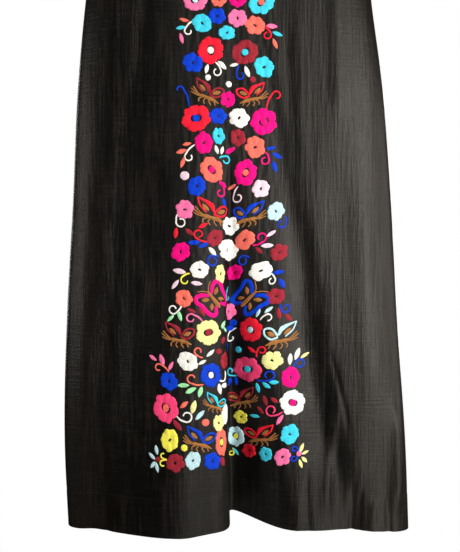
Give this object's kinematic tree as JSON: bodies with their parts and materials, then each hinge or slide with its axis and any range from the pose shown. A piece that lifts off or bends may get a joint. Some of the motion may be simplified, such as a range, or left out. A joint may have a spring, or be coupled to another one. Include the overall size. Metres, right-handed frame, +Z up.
{
  "type": "embroidered mexican dress on a hanger",
  "caption": "Long sleeveless black cotton dress with an embroidered front, hanging on a plain wooden hanger by its hook.",
  "frame": {"origin": "inside of the hanger's hook at its top, where a rail carries it", "axes": "+Z up, +X to the right of someone who looks at the front, +Y from the front to the back"},
  "size_m": [0.5804, 0.1195, 1.4501],
  "materials": {
    "black_cotton": "matt slubby plain weave",
    "embroidery_cotton": "stranded cotton, satin stitch",
    "beech": "clear satin varnish",
    "steel_wire": "plated"
  },
  "bodies": {
    "root": {"front": "black_cotton", "back": "black_cotton", "hanger_bar": "beech", "hanger_hook": "steel_wire"}
  },
  "joints": []
}
